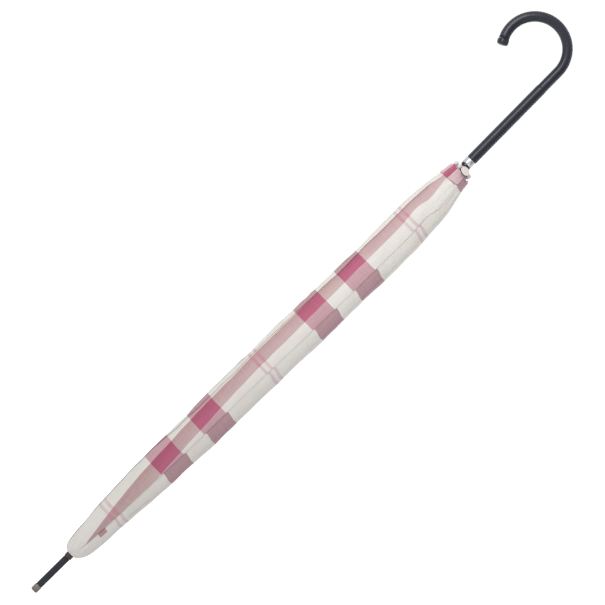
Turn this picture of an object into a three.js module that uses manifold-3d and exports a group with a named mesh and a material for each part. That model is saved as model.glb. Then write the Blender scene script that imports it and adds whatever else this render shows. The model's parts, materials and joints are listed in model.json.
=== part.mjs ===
// Stick umbrella, closed, standing on its ferrule with the crook handle up.
// Millimetres. Z runs along the shaft from the flat end of the ferrule tip.
// The crook curls towards -X and lies in the XZ plane.
import * as THREE from 'three';
import Module from 'manifold-3d';
import { mergeVertices } from 'three/addons/utils/BufferGeometryUtils.js';

const wasm = await Module();
wasm.setup();

const GAP = 0.3; // running clearance between neighbouring pieces

// Ferrule
const FERRULE_R = 4.15;
const TIP_CAP_R = 4.5;
const TIP_CAP_TOP = 9;
const FERRULE_TOP = 54.4;
const COLLAR_R = 4.9;
const COLLAR_TOP = 60.4;

// Shaft
const SHAFT_R = 4.75;
const SHAFT_BORE_R = 3.9;
const SHAFT_BOTTOM = COLLAR_TOP + GAP;
const SHAFT_TOP = 711.5;
const SLEEVE_BORE_R = SHAFT_R + GAP;

// Folding frame: eight ribs on the top notch, eight stretchers of equal arm length
const RIB_COUNT = 8;
const RIB_STEP = (2 * Math.PI) / RIB_COUNT;
const PIVOT_R = 7.5;
const NOTCH_Z = 71.5;
const ARM = 285;
const ELBOW_Z = NOTCH_Z + ARM;
const RUNNER_Z = NOTCH_Z + 2 * ARM;
const OPEN_ANGLE = THREE.MathUtils.degToRad(72);
const RUNNER_TRAVEL = 2 * ARM * (1 - Math.cos(OPEN_ANGLE));
const BLADE = 1.2;
const EYE_R = 1.3;
const SLOT_WIDTH = BLADE + 2 * GAP + 0.1;
const SLOT_FLOOR_R = PIVOT_R - EYE_R - GAP;
const WIRE_R = 0.35;
const RIVET_R = 0.45;

// Rib line: distance from the shaft's axis along the rib
const RIB_NECK_Z = 78;
const RIB_CHANNEL_Z = 95;
const RIB_END_Z = 690;
const RIB_NECK_R = 11;
const RIB_END_R = 9.2;
const RIB_BOW = 4.8;
const RIB_WIDTH = 2.4;
const RIB_DEPTH = 1.6;
const RIB_WALL = 0.45;
const RIB_TIP_R = 1.5;
const RIB_TIP_LENGTH = 10;

// Runner and its two spring catches
const CROWN_R = 9;
const CROWN_HALF = 5;
const RUNNER_TOP = 686;
const RUNNER_R = SLOT_FLOOR_R;
const FLANGE_R = 7.6;
const CATCH_WIDTH = 1;
const CATCH_LENGTH = 12;
const CATCH_REACH = 7.4;
const CATCH_DEPTH = 3.2;
const LOWER_CATCH_Z = 662;
const UPPER_CATCH_Z = RUNNER_TOP - RUNNER_TRAVEL + 1;
const STOP_PIN_Z = RUNNER_Z - CROWN_HALF - RUNNER_TRAVEL - 2.4;
const STOP_PIN_R = 0.8;

// Handle
const HANDLE_BOTTOM = 713;
const HANDLE_COLLAR_BOTTOM = 705;
const HANDLE_COLLAR_R = 6.5;
const SEAT_BOTTOM = 701.8;
const SEAT_R = 6.1;
const CORE_R = 4.7;
const LEATHER_BORE_R = 5.2;
const GRIP_R = 6.6;
const CROOK_TUBE_R = 6.2;
const GRIP_SEAM_Z = 829;
const CROOK_START_Z = 856.5;
const CROOK_LEAN = 2.4;
const CROOK_R = 37.9;
const CROOK_SWEEP = THREE.MathUtils.degToRad(203);
const END_RING_R = 6.6;
const END_RING_LENGTH = 1.6;
const END_CAP_R = 6.9;
const END_CAP_LENGTH = 7.5;

// Furled canopy: height, reach towards -X and reach towards +X
const CANOPY_PROFILE = [
  [65, 10.8, 11.0],
  [70, 13.0, 14.0],
  [84, 15.6, 17.3],
  [111, 17.4, 19.5],
  [146, 19.4, 20.8],
  [202, 21.4, 24.2],
  [258, 21.4, 26.4],
  [320, 22.3, 26.8],
  [404, 22.4, 28.2],
  [467, 21.0, 28.3],
  [522, 20.3, 29.2],
  [585, 20.1, 29.3],
  [634, 20.8, 26.6],
  [648, 19.6, 25.5],
  [662, 18.1, 22.9],
  [676, 15.2, 20.3],
  [691, 12.9, 17.0],
];
const CLOTH = 0.8;
const CLOTH_STEP = CLOTH + 0.5;
const PLEAT_TUCK_DEG = 28;
// Free edge of each pleat, round the shaft from +X; the widest one covers the front
const PLEAT_EDGE_DEG = [88, 130, 172, 215, 289, 326, 363, 405];

// Closure strap and its press stud
const STRAP_START_DEG = 158;
const STRAP_END_DEG = 292;
const STRAP_BOTTOM = 678;
const STRAP_TOP = 690;
const STRAP_THICK = 1;
const SNAP_DEG = 281.5;
const SNAP_Z = 697;
const SNAP_AXIS_R = 19.2;
const SNAP_TILT = THREE.MathUtils.degToRad(44);
const SNAP_R = 6.5;

// ---------------------------------------------------------------- materials

function steelMaterial() {
  return new THREE.MeshStandardMaterial({ color: 0x8a8c90, roughness: 0.35, metalness: 1 });
}

function darkMetalMaterial() {
  return new THREE.MeshStandardMaterial({ color: 0x25262e, roughness: 0.4, metalness: 0.6 });
}

function pewterMaterial() {
  return new THREE.MeshStandardMaterial({ color: 0x827d75, roughness: 0.4, metalness: 1 });
}

function chromeMaterial() {
  return new THREE.MeshStandardMaterial({ color: 0xd8dade, roughness: 0.12, metalness: 1 });
}

function leatherMaterial() {
  return new THREE.MeshStandardMaterial({ color: 0x2c2a34, roughness: 0.5, metalness: 0 });
}

function woodMaterial() {
  return new THREE.MeshStandardMaterial({ color: 0x9a7550, roughness: 0.7, metalness: 0 });
}

function clothMaterial() {
  return new THREE.MeshStandardMaterial({ color: 0xe4dfdb, roughness: 0.85, metalness: 0 });
}

function strapMaterial() {
  return new THREE.MeshStandardMaterial({ color: 0xd7a5b4, roughness: 0.85, metalness: 0 });
}

function plasticMaterial() {
  return new THREE.MeshStandardMaterial({ color: 0xe9e6e2, roughness: 0.35, metalness: 0 });
}

function blackPlasticMaterial() {
  return new THREE.MeshStandardMaterial({ color: 0x17161a, roughness: 0.25, metalness: 0 });
}

function pearlMaterial() {
  return new THREE.MeshStandardMaterial({ color: 0xe8dfcf, roughness: 0.3, metalness: 0 });
}

// ------------------------------------------------------------------ helpers

// A three.js geometry as a manifold solid.
function solid(geometry) {
  const bare = geometry.clone();
  bare.deleteAttribute('normal');
  bare.deleteAttribute('uv');
  const merged = mergeVertices(bare, 1e-4);
  return new wasm.Manifold(
    new wasm.Mesh({
      numProp: 3,
      vertProperties: Float32Array.from(merged.attributes.position.array),
      triVerts: Uint32Array.from(merged.index.array),
    }),
  );
}

// A manifold solid as a three.js geometry.
function geometryOf(manifold) {
  const mesh = manifold.getMesh();
  const geometry = new THREE.BufferGeometry();
  geometry.setAttribute('position', new THREE.BufferAttribute(Float32Array.from(mesh.vertProperties), 3));
  geometry.setIndex(new THREE.BufferAttribute(Uint32Array.from(mesh.triVerts), 1));
  geometry.computeVertexNormals();
  return geometry;
}

function piece(name, geometry, material) {
  const mesh = new THREE.Mesh(geometry, material);
  mesh.name = name;
  return mesh;
}

// A solid of revolution about Z from points given as [radius, height].
function turned(points, segments = 24) {
  const profile = points.map(([r, z]) => new THREE.Vector2(r, z));
  return new THREE.LatheGeometry(profile, segments).rotateX(Math.PI / 2);
}

// A ring of revolution: the same, with its profile closed on itself.
function ring(points, segments = 24) {
  return turned([...points, points[0]], segments);
}

function box(width, depth, height, x, y, z) {
  return new THREE.BoxGeometry(width, depth, height).translate(x, y, z);
}

// A round bar along Y, centred on the radial plane.
function crossBar(radius, length, r, z, segments = 8) {
  return new THREE.CylinderGeometry(radius, radius, length, segments).translate(r, 0, z);
}

// A plate standing in the radial plane: outline in [radius, height], centred on y = 0.
function radialPlate(points, thickness, offset = 0) {
  const shape = new THREE.Shape(points.map(([r, z]) => new THREE.Vector2(r, z)));
  const plate = new THREE.ExtrudeGeometry(shape, { depth: thickness, bevelEnabled: false });
  return plate.translate(0, 0, -thickness / 2).rotateX(Math.PI / 2).translate(0, offset, 0);
}

function smooth(t) {
  const c = THREE.MathUtils.clamp(t, 0, 1);
  return c * c * (3 - 2 * c);
}

function ribAngle(i) {
  return (i + 0.5) * RIB_STEP;
}

// ------------------------------------------------------------------ ferrule

function ferruleTipCap() {
  return turned([
    [0, 0],
    [3.4, 0],
    [4.2, 0.8],
    [TIP_CAP_R, 2.4],
    [TIP_CAP_R, TIP_CAP_TOP - 0.5],
    [FERRULE_R, TIP_CAP_TOP],
    [0, TIP_CAP_TOP],
  ]);
}

function ferrule() {
  return turned([
    [0, TIP_CAP_TOP + GAP],
    [FERRULE_R, TIP_CAP_TOP + GAP],
    [FERRULE_R, FERRULE_TOP],
    [0, FERRULE_TOP],
  ]);
}

function ferruleCollar() {
  return turned([
    [0, FERRULE_TOP + GAP],
    [COLLAR_R - 0.4, FERRULE_TOP + GAP],
    [COLLAR_R, FERRULE_TOP + 1],
    [COLLAR_R, COLLAR_TOP - 0.6],
    [COLLAR_R - 0.4, COLLAR_TOP],
    [0, COLLAR_TOP],
  ]);
}

// Small gathered patch that closes the crown of the canopy round the shaft.
function crownRosette() {
  return ring([
    [SLEEVE_BORE_R, COLLAR_TOP + GAP],
    [SLEEVE_BORE_R + 1.6, COLLAR_TOP + GAP],
    [9.6, 63.6],
    [9.6, 64.5],
    [SLEEVE_BORE_R, 62.2],
  ]);
}

// -------------------------------------------------------------------- shaft

function shaft() {
  let tube = solid(
    ring(
      [
        [SHAFT_BORE_R, SHAFT_BOTTOM],
        [SHAFT_R, SHAFT_BOTTOM],
        [SHAFT_R, SHAFT_TOP],
        [SHAFT_BORE_R, SHAFT_TOP],
      ],
      24,
    ),
  );
  for (const z of [LOWER_CATCH_Z, UPPER_CATCH_Z]) {
    const window = box(3, CATCH_WIDTH + 2 * GAP, CATCH_LENGTH + 2, -SHAFT_R, 0, z + CATCH_LENGTH / 2);
    tube = tube.subtract(solid(window));
  }
  return geometryOf(tube.subtract(solid(crossBar(STOP_PIN_R + GAP, 14, 0, STOP_PIN_Z))));
}

function stopPin() {
  return crossBar(STOP_PIN_R, 12.4, 0, STOP_PIN_Z);
}

// ---------------------------------------------------- notch, runner, catches

// Takes one slot for each rib or stretcher blade out of a slotted crown.
function cutSlots(crown, bottom, top) {
  let cut = crown;
  for (let i = 0; i < RIB_COUNT; i += 1) {
    const slot = box(6, SLOT_WIDTH, top - bottom, SLOT_FLOOR_R + 3, 0, (top + bottom) / 2);
    cut = cut.subtract(solid(slot.rotateZ(ribAngle(i))));
  }
  return cut;
}

// Wire ring that the ribs hinge on; the same shape, larger, makes its tunnel.
function wireRing(radius) {
  const points = [];
  for (let k = 0; k < 6; k += 1) {
    const angle = (k * Math.PI) / 3;
    points.push([PIVOT_R + radius * Math.cos(angle), NOTCH_Z + radius * Math.sin(angle)]);
  }
  return ring(points, 24);
}

function topNotch() {
  const bottom = NOTCH_Z - 3.5;
  const top = NOTCH_Z + 3.5;
  const hub = solid(
    ring([
      [SLEEVE_BORE_R, bottom],
      [CROWN_R - 1, bottom],
      [CROWN_R + 0.2, bottom + 1],
      [CROWN_R + 0.2, top],
      [SLEEVE_BORE_R, top],
    ]),
  );
  return geometryOf(cutSlots(hub, bottom - 1, top + 1).subtract(solid(wireRing(WIRE_R + GAP))));
}

// Sleeve with a slotted crown at one end, a notched finger flange at the other,
// and one keyway along its whole length that the spring catches stand in.
function runner() {
  const bottom = RUNNER_Z - CROWN_HALF;
  const top = RUNNER_Z + CROWN_HALF;
  const sleeve = solid(
    ring([
      [SLEEVE_BORE_R, bottom],
      [CROWN_R, bottom],
      [CROWN_R, top],
      [RUNNER_R, top + 1.5],
      [RUNNER_R, RUNNER_TOP - 4.5],
      [FLANGE_R, RUNNER_TOP - 3.5],
      [FLANGE_R, RUNNER_TOP],
      [SLEEVE_BORE_R, RUNNER_TOP],
    ]),
  );
  const middle = (bottom + RUNNER_TOP) / 2;
  const keyway = box(8, CATCH_WIDTH + 2 * GAP, RUNNER_TOP - bottom + 2, -8, 0, middle);
  return geometryOf(cutSlots(sleeve, bottom - 1, RUNNER_TOP + 1).subtract(solid(keyway)));
}

// Wedge that stands out of the shaft through its window, on the -X side.
function springCatch(z) {
  const outline = [
    [-CATCH_REACH, z + 0.4],
    [-CATCH_REACH, z + 1.6],
    [-SHAFT_R, z + CATCH_LENGTH - 1],
    [-CATCH_DEPTH, z + CATCH_LENGTH - 1],
    [-CATCH_DEPTH, z + 0.4],
  ];
  return radialPlate(outline, CATCH_WIDTH);
}

// ------------------------------------------------------- ribs and stretchers

function ribRadius(z) {
  if (z < RIB_CHANNEL_Z) {
    const rise = smooth((z - RIB_NECK_Z) / (RIB_CHANNEL_Z - RIB_NECK_Z));
    return THREE.MathUtils.lerp(PIVOT_R, RIB_NECK_R, rise);
  }
  const along = (z - RIB_CHANNEL_Z) / (RIB_END_Z - RIB_CHANNEL_Z);
  return THREE.MathUtils.lerp(RIB_NECK_R, RIB_END_R, along) + RIB_BOW * Math.sin(Math.PI * along);
}

// Open-channel section of a rib, its groove facing the shaft.
function channelSection() {
  const w = RIB_WIDTH / 2;
  const d = RIB_DEPTH / 2;
  const outline = [
    [-w, -d],
    [-w + RIB_WALL, -d],
    [-w + RIB_WALL, d - RIB_WALL],
    [w - RIB_WALL, d - RIB_WALL],
    [w - RIB_WALL, -d],
    [w, -d],
    [w, d],
    [-w, d],
  ];
  return new THREE.Shape(outline.map(([x, y]) => new THREE.Vector2(x, y)));
}

// One rib at azimuth 0: hinge eye, flat neck, bowed channel, and the fork and rivet at the elbow.
function rib() {
  const stations = [RIB_CHANNEL_Z - 4];
  for (let k = 1; k <= 10; k += 1) {
    stations.push(THREE.MathUtils.lerp(RIB_CHANNEL_Z, RIB_END_Z, k / 10));
  }
  const line = new THREE.CatmullRomCurve3(stations.map((z) => new THREE.Vector3(ribRadius(z), 0, z)));
  const channel = new THREE.ExtrudeGeometry(channelSection(), {
    steps: 9,
    bevelEnabled: false,
    extrudePath: line,
  });
  const half = 0.85;
  const neckHeights = [NOTCH_Z, RIB_NECK_Z, 83, 89, RIB_CHANNEL_Z + 2];
  const neck = [
    ...neckHeights.map((z) => [ribRadius(z) + half, z]),
    ...neckHeights.toReversed().map((z) => [ribRadius(z) - half, z]),
  ];
  const outer = ribRadius(ELBOW_Z) + 0.3;
  const ear = [
    [PIVOT_R - 0.9, ELBOW_Z - 0.8],
    [PIVOT_R, ELBOW_Z - 1.2],
    [outer, ELBOW_Z - 3],
    [outer, ELBOW_Z + 3],
    [PIVOT_R, ELBOW_Z + 1.2],
    [PIVOT_R - 0.9, ELBOW_Z + 0.8],
  ];
  const earThick = 0.8;
  const earOffset = BLADE / 2 + GAP + earThick / 2;
  let body = solid(channel)
    .add(solid(radialPlate(neck, BLADE)))
    .add(solid(crossBar(EYE_R, BLADE, PIVOT_R, NOTCH_Z)));
  for (const side of [-1, 1]) {
    body = body.add(solid(radialPlate(ear, earThick, side * earOffset)));
  }
  body = body.add(solid(crossBar(RIVET_R, 2 * earOffset + earThick + 0.5, PIVOT_R, ELBOW_Z, 6)));
  return geometryOf(body.subtract(solid(crossBar(WIRE_R + GAP, BLADE + 2, PIVOT_R, NOTCH_Z, 6))));
}

// One stretcher at azimuth 0, folded flat against its rib.
function stretcher() {
  const half = 0.8;
  const blade = [
    [PIVOT_R - half, ELBOW_Z],
    [PIVOT_R + half, ELBOW_Z],
    [PIVOT_R + half, RUNNER_Z],
    [PIVOT_R - half, RUNNER_Z],
  ];
  const middle = (ELBOW_Z + RUNNER_Z) / 2;
  let body = solid(radialPlate(blade, BLADE))
    .add(solid(box(1.4, 2, ARM - 40, PIVOT_R, 0, middle)))
    .add(solid(crossBar(EYE_R, BLADE, PIVOT_R, ELBOW_Z)))
    .add(solid(crossBar(EYE_R, BLADE, PIVOT_R, RUNNER_Z)));
  body = body.subtract(solid(crossBar(RIVET_R + GAP, BLADE + 2, PIVOT_R, ELBOW_Z, 6)));
  return geometryOf(body.subtract(solid(crossBar(WIRE_R + GAP, BLADE + 2, PIVOT_R, RUNNER_Z, 6))));
}

// Blunt plastic tip that holds the hem on the end of a rib.
function ribTip() {
  const tip = turned(
    [
      [0, 0],
      [RIB_TIP_R * 0.85, 0],
      [RIB_TIP_R, 2],
      [RIB_TIP_R, RIB_TIP_LENGTH - 1.4],
      [RIB_TIP_R * 0.6, RIB_TIP_LENGTH - 0.3],
      [0, RIB_TIP_LENGTH],
    ],
    8,
  );
  return tip.rotateY(0.14).translate(RIB_END_R + 0.1, 0, RIB_END_Z + GAP + 0.2);
}

// ------------------------------------------------------------------- canopy

// Centre offset and radius of the furled canopy at a height.
function canopySection(z) {
  const last = CANOPY_PROFILE.length - 1;
  let k = 0;
  while (k < last - 1 && CANOPY_PROFILE[k + 1][0] < z) {
    k += 1;
  }
  const [z0, left0, right0] = CANOPY_PROFILE[k];
  const [z1, left1, right1] = CANOPY_PROFILE[k + 1];
  const t = (z - z0) / (z1 - z0);
  const left = THREE.MathUtils.lerp(left0, left1, t);
  const right = THREE.MathUtils.lerp(right0, right1, t);
  return { centre: (right - left) / 2, radius: (right + left) / 2 };
}

// A band round the shaft: a flat slab of cells, one column for each azimuth span, then wrapped.
// bend gives the position for an azimuth, a depth inwards and a step along the shaft.
function wrappedBand(azimuths, thickness, steps, bend) {
  const spans = azimuths.length - 1;
  const band = new THREE.BoxGeometry(spans, thickness, steps, spans, 1, steps);
  const at = band.attributes.position;
  for (let k = 0; k < at.count; k += 1) {
    const azimuth = azimuths[Math.round(at.getX(k) + spans / 2)];
    const p = bend(azimuth, at.getY(k) + thickness / 2, Math.round(at.getZ(k) + steps / 2));
    at.setXYZ(k, p.x, p.y, p.z);
  }
  band.computeVertexNormals();
  return band;
}

function onCanopy(azimuthDeg, inwards, z) {
  const section = canopySection(z);
  const a = THREE.MathUtils.degToRad(azimuthDeg);
  const r = section.radius - inwards;
  return new THREE.Vector3(section.centre + r * Math.cos(a), r * Math.sin(a), z);
}

// One pleat of the furled canopy. It starts tucked under the pleat before it
// and rises over that pleat's free edge to its own.
function canopyGore(i) {
  const edge = PLEAT_EDGE_DEG[i];
  const before = i === 0 ? PLEAT_EDGE_DEG[RIB_COUNT - 1] - 360 : PLEAT_EDGE_DEG[i - 1];
  const start = before - PLEAT_TUCK_DEG;
  const clear = before + 2.5;
  const full = before + 11;
  const azimuths = [start, (start + clear) / 2, clear, full];
  const spans = Math.max(2, Math.round((edge - full) / 14));
  for (let k = 1; k <= spans; k += 1) {
    azimuths.push(THREE.MathUtils.lerp(full, edge, k / spans));
  }
  const steps = CANOPY_PROFILE.length - 1;
  return wrappedBand(azimuths, CLOTH, steps, (azimuth, depth, step) => {
    const tuck = CLOTH_STEP * (1 - smooth((azimuth - clear) / (full - clear)));
    return onCanopy(azimuth, tuck + depth, CANOPY_PROFILE[step][0]);
  });
}

// -------------------------------------------------------------------- strap

// Hem of the strap at an azimuth: it drops and narrows into a rounded tab under the stud.
function strapHeights(azimuthDeg) {
  const t = smooth((azimuthDeg - 262) / 16);
  const end = THREE.MathUtils.clamp((azimuthDeg - SNAP_DEG) / (STRAP_END_DEG - SNAP_DEG), 0, 1);
  const round = Math.sqrt(1 - 0.85 * end * end);
  const low = THREE.MathUtils.lerp(STRAP_BOTTOM, STRAP_BOTTOM + 3, t);
  const high = THREE.MathUtils.lerp(STRAP_TOP, STRAP_TOP + 3, t);
  const middle = (low + high) / 2;
  const half = ((high - low) / 2) * round;
  return [middle - half, middle + half];
}

function closureStrap() {
  const azimuths = [];
  for (let k = 0; k <= 12; k += 1) {
    azimuths.push(THREE.MathUtils.lerp(STRAP_START_DEG, STRAP_END_DEG, k / 12));
  }
  const steps = 3;
  return wrappedBand(azimuths, STRAP_THICK, steps, (azimuth, depth, step) => {
    const [low, high] = strapHeights(azimuth);
    const z = THREE.MathUtils.lerp(low, high, step / steps);
    const section = canopySection(Math.min(z, STRAP_TOP));
    const inwards = depth - STRAP_THICK - GAP - 0.1;
    const a = THREE.MathUtils.degToRad(azimuth);
    const r = section.radius - inwards;
    return new THREE.Vector3(section.centre + r * Math.cos(a), r * Math.sin(a), z);
  });
}

// Stands a piece turned about Z on the strap's tab, leaning towards the handle.
function onSnapAxis(mesh) {
  const a = THREE.MathUtils.degToRad(SNAP_DEG);
  mesh.position.set(SNAP_AXIS_R * Math.cos(a), SNAP_AXIS_R * Math.sin(a), SNAP_Z);
  mesh.rotation.set(0, Math.PI / 2 - SNAP_TILT, a, 'ZYX');
  return mesh;
}

function snapCap() {
  return turned([
    [0, 0.3],
    [SNAP_R - 0.6, 0.3],
    [SNAP_R - 0.3, 0.8],
    [SNAP_R - 1, 1.5],
    [SNAP_R - 3, 1.9],
    [0, 2],
  ]);
}

function snapRim() {
  return turned([
    [0, -1.4],
    [SNAP_R - 1, -1.4],
    [SNAP_R, -0.8],
    [SNAP_R, -0.3],
    [SNAP_R - 0.8, 0],
    [0, 0],
  ]);
}

function snapStud() {
  return turned(
    [
      [0, -3.4],
      [2.4, -3.4],
      [2.4, -2.6],
      [1.5, -2.4],
      [1.5, -1.8],
      [0, -1.7],
    ],
    12,
  );
}

// ------------------------------------------------------------------- handle

// Black seat that the handle's collar comes down on.
function collarSeat() {
  return ring([
    [SLEEVE_BORE_R, SEAT_BOTTOM],
    [SEAT_R - 0.8, SEAT_BOTTOM],
    [SEAT_R, SEAT_BOTTOM + 0.8],
    [SEAT_R, HANDLE_COLLAR_BOTTOM - GAP],
    [SLEEVE_BORE_R, HANDLE_COLLAR_BOTTOM - GAP],
  ]);
}

function handleCollar() {
  return ring([
    [SLEEVE_BORE_R, HANDLE_COLLAR_BOTTOM + 2],
    [HANDLE_COLLAR_R - 0.6, HANDLE_COLLAR_BOTTOM + 2],
    [HANDLE_COLLAR_R - 0.4, HANDLE_COLLAR_BOTTOM],
    [HANDLE_COLLAR_R, HANDLE_COLLAR_BOTTOM],
    [HANDLE_COLLAR_R, HANDLE_BOTTOM - 1.2],
    [HANDLE_COLLAR_R - 0.4, HANDLE_BOTTOM - GAP],
    [SLEEVE_BORE_R, HANDLE_BOTTOM - GAP],
  ]);
}

// Centre line of the handle: a nearly straight grip, then the arc of the crook.
class HandleLine extends THREE.Curve {
  constructor(from, to) {
    super();
    this.from = from;
    this.to = to;
  }

  getPoint(t, target = new THREE.Vector3()) {
    const s = THREE.MathUtils.lerp(this.from, this.to, t);
    if (s <= GRIP_LENGTH) {
      const f = s / GRIP_LENGTH;
      return target.set(-CROOK_LEAN * f, 0, THREE.MathUtils.lerp(HANDLE_BOTTOM, CROOK_START_Z, f));
    }
    const angle = LEAN_ANGLE + (s - GRIP_LENGTH) / CROOK_R;
    return target.set(CROOK_X + CROOK_R * Math.cos(angle), 0, CROOK_Z + CROOK_R * Math.sin(angle));
  }
}

const LEAN_ANGLE = Math.atan2(CROOK_LEAN, CROOK_START_Z - HANDLE_BOTTOM);
const GRIP_LENGTH = Math.hypot(CROOK_LEAN, CROOK_START_Z - HANDLE_BOTTOM);
const CROOK_X = -CROOK_LEAN - CROOK_R * Math.cos(LEAN_ANGLE);
const CROOK_Z = CROOK_START_Z - CROOK_R * Math.sin(LEAN_ANGLE);
const SEAM_AT = GRIP_SEAM_Z - HANDLE_BOTTOM;
const CROOK_END_AT = GRIP_LENGTH + (CROOK_SWEEP - LEAN_ANGLE) * CROOK_R;

// A round bar or tube along part of the handle's centre line.
function alongHandle(radius, bore, from, to, steps, segments) {
  const section = new THREE.Shape();
  section.absarc(0, 0, radius, 0, 2 * Math.PI, false);
  if (bore > 0) {
    const hole = new THREE.Path();
    hole.absarc(0, 0, bore, 0, 2 * Math.PI, true);
    section.holes.push(hole);
  }
  return new THREE.ExtrudeGeometry(section, {
    steps,
    curveSegments: segments / 2,
    bevelEnabled: false,
    extrudePath: new HandleLine(from, to),
  });
}

// Stands a piece turned about Z on the handle's centre line, along it.
function onHandle(mesh, at) {
  const angle = at <= GRIP_LENGTH ? LEAN_ANGLE : LEAN_ANGLE + (at - GRIP_LENGTH) / CROOK_R;
  mesh.position.copy(new HandleLine(0, at).getPoint(1));
  mesh.rotation.y = -angle;
  return mesh;
}

function handleEndRing() {
  return turned([
    [0, 0],
    [END_RING_R - 0.3, 0],
    [END_RING_R, 0.3],
    [END_RING_R, END_RING_LENGTH - 0.3],
    [END_RING_R - 0.3, END_RING_LENGTH],
    [0, END_RING_LENGTH],
  ]);
}

function handleEndCap() {
  return turned([
    [0, 0],
    [END_CAP_R - 0.5, 0],
    [END_CAP_R, 0.7],
    [END_CAP_R, END_CAP_LENGTH - 1.6],
    [END_CAP_R - 0.6, END_CAP_LENGTH - 0.5],
    [END_CAP_R - 2, END_CAP_LENGTH],
    [0, END_CAP_LENGTH],
  ]);
}

// ----------------------------------------------------------------- assembly

const group = new THREE.Group();
group.name = 'stick_umbrella';

group.add(piece('ferrule_tip_cap', ferruleTipCap(), pewterMaterial()));
group.add(piece('ferrule', ferrule(), darkMetalMaterial()));
group.add(piece('ferrule_collar', ferruleCollar(), pewterMaterial()));
group.add(piece('crown_rosette', crownRosette(), clothMaterial()));
group.add(piece('shaft', shaft(), darkMetalMaterial()));
group.add(piece('stop_pin', stopPin(), steelMaterial()));
group.add(piece('top_notch', topNotch(), darkMetalMaterial()));
group.add(piece('notch_wire', wireRing(WIRE_R), steelMaterial()));
group.add(piece('runner', runner(), darkMetalMaterial()));
group.add(piece('lower_catch', springCatch(LOWER_CATCH_Z), steelMaterial()));
group.add(piece('upper_catch', springCatch(UPPER_CATCH_Z), steelMaterial()));

for (let i = 0; i < RIB_COUNT; i += 1) {
  const arm = new THREE.Group();
  arm.name = `arm_${i + 1}`;
  arm.rotation.z = ribAngle(i);
  arm.add(piece(`rib_${i + 1}`, rib(), steelMaterial()));
  arm.add(piece(`rib_tip_${i + 1}`, ribTip(), plasticMaterial()));
  arm.add(piece(`stretcher_${i + 1}`, stretcher(), steelMaterial()));
  group.add(arm);
}

for (let i = 0; i < RIB_COUNT; i += 1) {
  group.add(piece(`canopy_gore_${i + 1}`, canopyGore(i), clothMaterial()));
}

group.add(piece('closure_strap', closureStrap(), strapMaterial()));
group.add(onSnapAxis(piece('snap_cap', snapCap(), pearlMaterial())));
group.add(onSnapAxis(piece('snap_rim', snapRim(), darkMetalMaterial())));
group.add(onSnapAxis(piece('snap_stud', snapStud(), darkMetalMaterial())));

const core = alongHandle(CORE_R, 0, GAP, CROOK_END_AT - GAP, 28, 10);
const grip = alongHandle(GRIP_R, LEATHER_BORE_R, 0, SEAM_AT, 1, 20);
const crook = alongHandle(CROOK_TUBE_R, LEATHER_BORE_R, SEAM_AT + GAP, CROOK_END_AT, 24, 16);
group.add(piece('collar_seat', collarSeat(), blackPlasticMaterial()));
group.add(piece('handle_collar', handleCollar(), chromeMaterial()));
group.add(piece('handle_core', core, woodMaterial()));
group.add(piece('handle_grip', grip, leatherMaterial()));
group.add(piece('handle_crook', crook, leatherMaterial()));
group.add(onHandle(piece('handle_end_ring', handleEndRing(), leatherMaterial()), CROOK_END_AT + GAP));
const capAt = CROOK_END_AT + END_RING_LENGTH + 2.5 * GAP;
group.add(onHandle(piece('handle_end_cap', handleEndCap(), leatherMaterial()), capAt));

export default group;
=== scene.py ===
"""Furled stick umbrella: looks, camera and light. Lengths in the code are millimetres."""

import json
import math

import bpy
import numpy as np
from mathutils import Matrix, Vector


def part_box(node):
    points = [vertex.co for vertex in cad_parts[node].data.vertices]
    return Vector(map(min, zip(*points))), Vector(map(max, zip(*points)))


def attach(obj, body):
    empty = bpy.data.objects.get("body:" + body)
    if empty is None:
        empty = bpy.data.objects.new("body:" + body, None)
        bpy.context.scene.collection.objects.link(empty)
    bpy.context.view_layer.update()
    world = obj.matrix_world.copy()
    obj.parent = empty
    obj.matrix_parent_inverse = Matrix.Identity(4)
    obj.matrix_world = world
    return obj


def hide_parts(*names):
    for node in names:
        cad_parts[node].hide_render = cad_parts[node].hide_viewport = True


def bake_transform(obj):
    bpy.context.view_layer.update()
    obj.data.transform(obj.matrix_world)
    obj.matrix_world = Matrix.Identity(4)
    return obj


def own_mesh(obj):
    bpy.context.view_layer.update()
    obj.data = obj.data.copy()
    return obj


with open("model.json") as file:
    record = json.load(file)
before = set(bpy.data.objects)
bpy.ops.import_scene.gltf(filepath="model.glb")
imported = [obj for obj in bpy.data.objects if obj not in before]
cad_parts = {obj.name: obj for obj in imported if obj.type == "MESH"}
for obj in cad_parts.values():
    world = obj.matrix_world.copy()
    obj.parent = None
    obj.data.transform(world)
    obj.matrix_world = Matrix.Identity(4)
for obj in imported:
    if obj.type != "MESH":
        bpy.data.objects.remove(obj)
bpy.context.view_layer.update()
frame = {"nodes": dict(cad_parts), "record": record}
MM = 0.001

# ------------------------------------------------------------- sizes shared with the frame
RIBS = 8
PIVOT_R = 7.5
SPREAD_Z = 63.614
HEM_Z = 693.0
RIB_END_R = 9.2  # ribs' distance from the shaft's axis at the hem
BAND_INSET = 16.5  # cloth between a gore's middle fold and its long band, towards the hem
CROWN_Z = 63.4
TUCK_DEG = 28.0
CLOTH = 0.3
PROFILE = [
    (62, 8.2, 8.2),
    (65, 10.8, 11.0),
    (70, 13.0, 14.0),
    (84, 15.6, 17.3),
    (111, 17.4, 19.5),
    (146, 19.4, 20.8),
    (202, 21.4, 24.2),
    (258, 21.4, 26.4),
    (320, 22.3, 26.8),
    (404, 22.4, 28.2),
    (467, 21.0, 28.3),
    (522, 20.3, 29.2),
    (585, 20.1, 29.3),
    (634, 20.8, 26.6),
    (648, 19.6, 25.5),
    (662, 18.1, 22.9),
    (676, 15.2, 20.3),
    (691, 12.9, 17.0),
    (697, 12.3, 16.4),
]
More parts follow.
